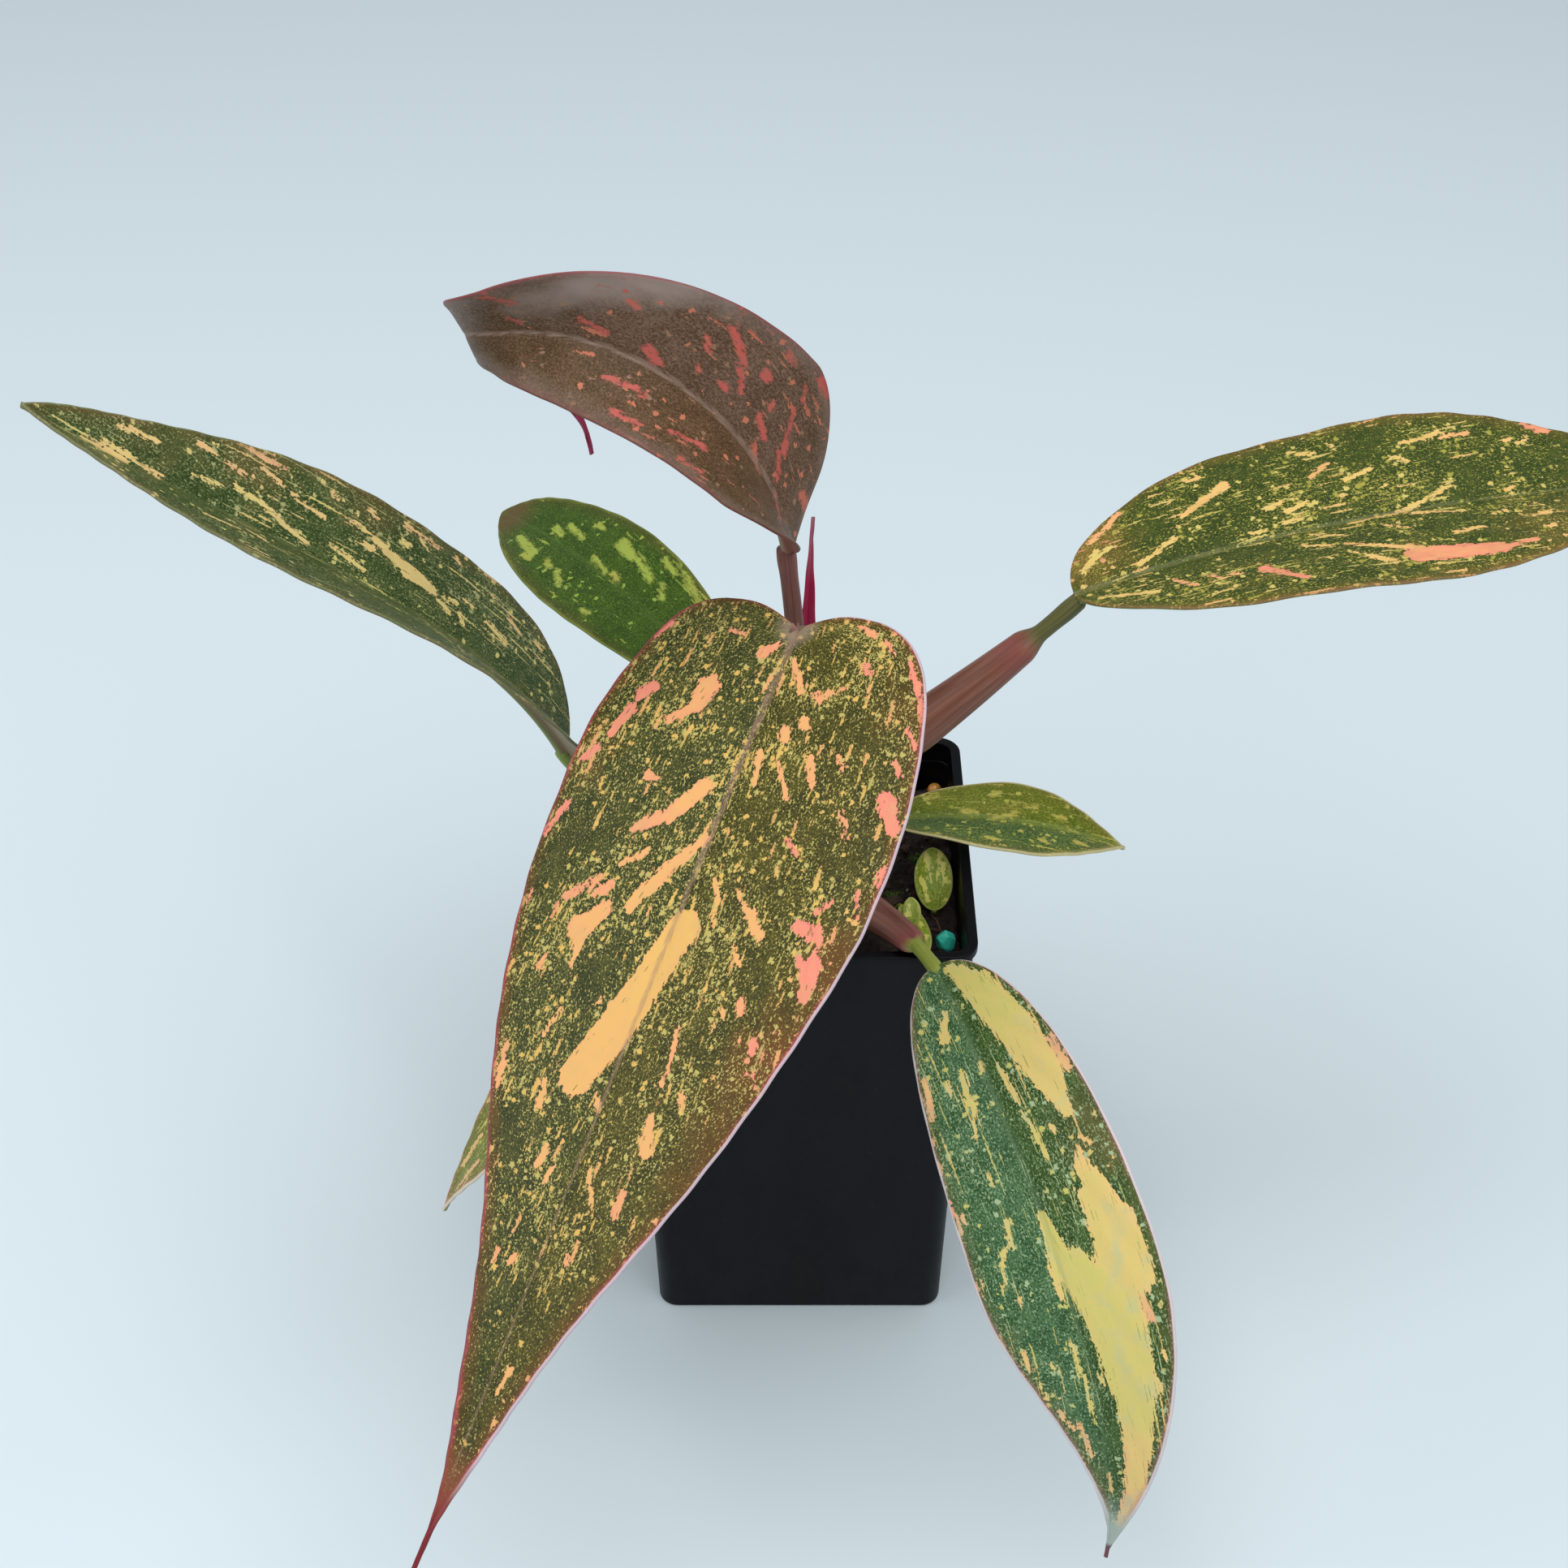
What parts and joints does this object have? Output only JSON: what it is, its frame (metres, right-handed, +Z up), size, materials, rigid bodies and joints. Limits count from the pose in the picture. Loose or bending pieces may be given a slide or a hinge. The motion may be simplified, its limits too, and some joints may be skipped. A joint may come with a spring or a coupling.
{
  "type": "potted orange princess philodendron",
  "caption": "Young variegated philodendron with arching marbled leaves on grooved petioles, rooted in a deep square nursery pot.",
  "frame": {"origin": "centre of the pot's underside, on the surface that it stands on", "axes": "+Z up; -Y is the side that the long front leaf hangs over; the pot's walls are square to X and Y"},
  "size_m": [0.2895, 0.2397, 0.2288],
  "materials": {
    "pot_plastic": "black moulded polypropylene with a soft sheen",
    "soil": "moist dark potting mix",
    "stem_skin": "smooth green plant skin",
    "leaf_olive": "satin leaf, dark olive with yellow and salmon streaks",
    "leaf_bronze": "satin young leaf, bronze with pink streaks",
    "leaf_green": "satin leaf, green with yellow and peach streaks",
    "leaf_pale": "satin leaf, yellow-green with pink edges",
    "leaf_young": "glossy young leaf",
    "bract_crimson": "translucent crimson bract",
    "feed_blue_green": "glassy fertiliser crystal",
    "feed_amber": "glossy resin-coated bead"
  },
  "bodies": {
    "root": {"nursery_pot": "pot_plastic", "potting_mix": "soil", "stem": "stem_skin", "leaf_front": "leaf_olive", "leaf_crown": "leaf_bronze", "leaf_left": "leaf_green", "leaf_back": "leaf_green", "leaf_right": "leaf_green", "leaf_small_right": "leaf_pale", "leaf_lower_right": "leaf_pale", "leaf_lower_left": "leaf_pale", "crown_bract": "bract_crimson", "offset_leaf_round": "leaf_young", "offset_leaf_small": "leaf_young", "offset_leaf_front": "leaf_young", "feed_crystal": "feed_blue_green", "feed_bead": "feed_amber"}
  },
  "joints": []
}
